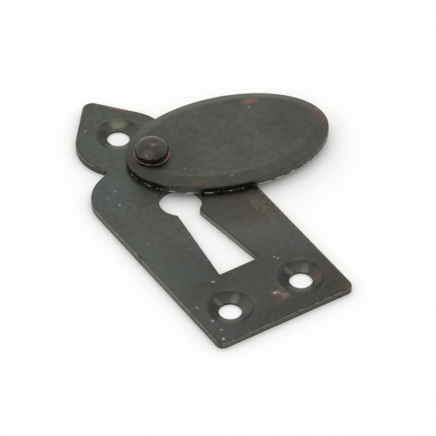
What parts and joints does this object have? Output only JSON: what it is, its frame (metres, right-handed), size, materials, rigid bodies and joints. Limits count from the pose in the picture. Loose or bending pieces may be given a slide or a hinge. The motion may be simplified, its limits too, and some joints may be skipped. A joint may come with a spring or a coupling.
{
  "type": "keyhole escutcheon with swing cover",
  "caption": "Flat keyhole plate with a leaf-shaped top and dished screw holes, and an oval cover that swings on a round-headed rivet.",
  "frame": {"origin": "midway between the two lower screw holes, on the plate's flat back face", "axes": "+Z out of the front face, +Y up the plate towards the leaf's tip, +X to the right"},
  "size_m": [0.0554, 0.0767, 0.0078],
  "materials": {
    "plate_patina": "satin dark bronze patina, slightly green",
    "cover_patina": "satin dark bronze patina, slightly brown",
    "rivet_patina": "satin dark bronze patina, worn at the rim"
  },
  "bodies": {
    "plate": {"back_plate": "plate_patina", "pivot_rivet": "rivet_patina"},
    "cover": {"swing_cover": "cover_patina"}
  },
  "joints": [
    {"name": "cover_swing", "type": "hinge", "parent": "plate", "child": "cover", "pos_m": [0.0012, 0.04485, 0.00165], "axis": [0, 0, 1], "continuous": true}
  ]
}
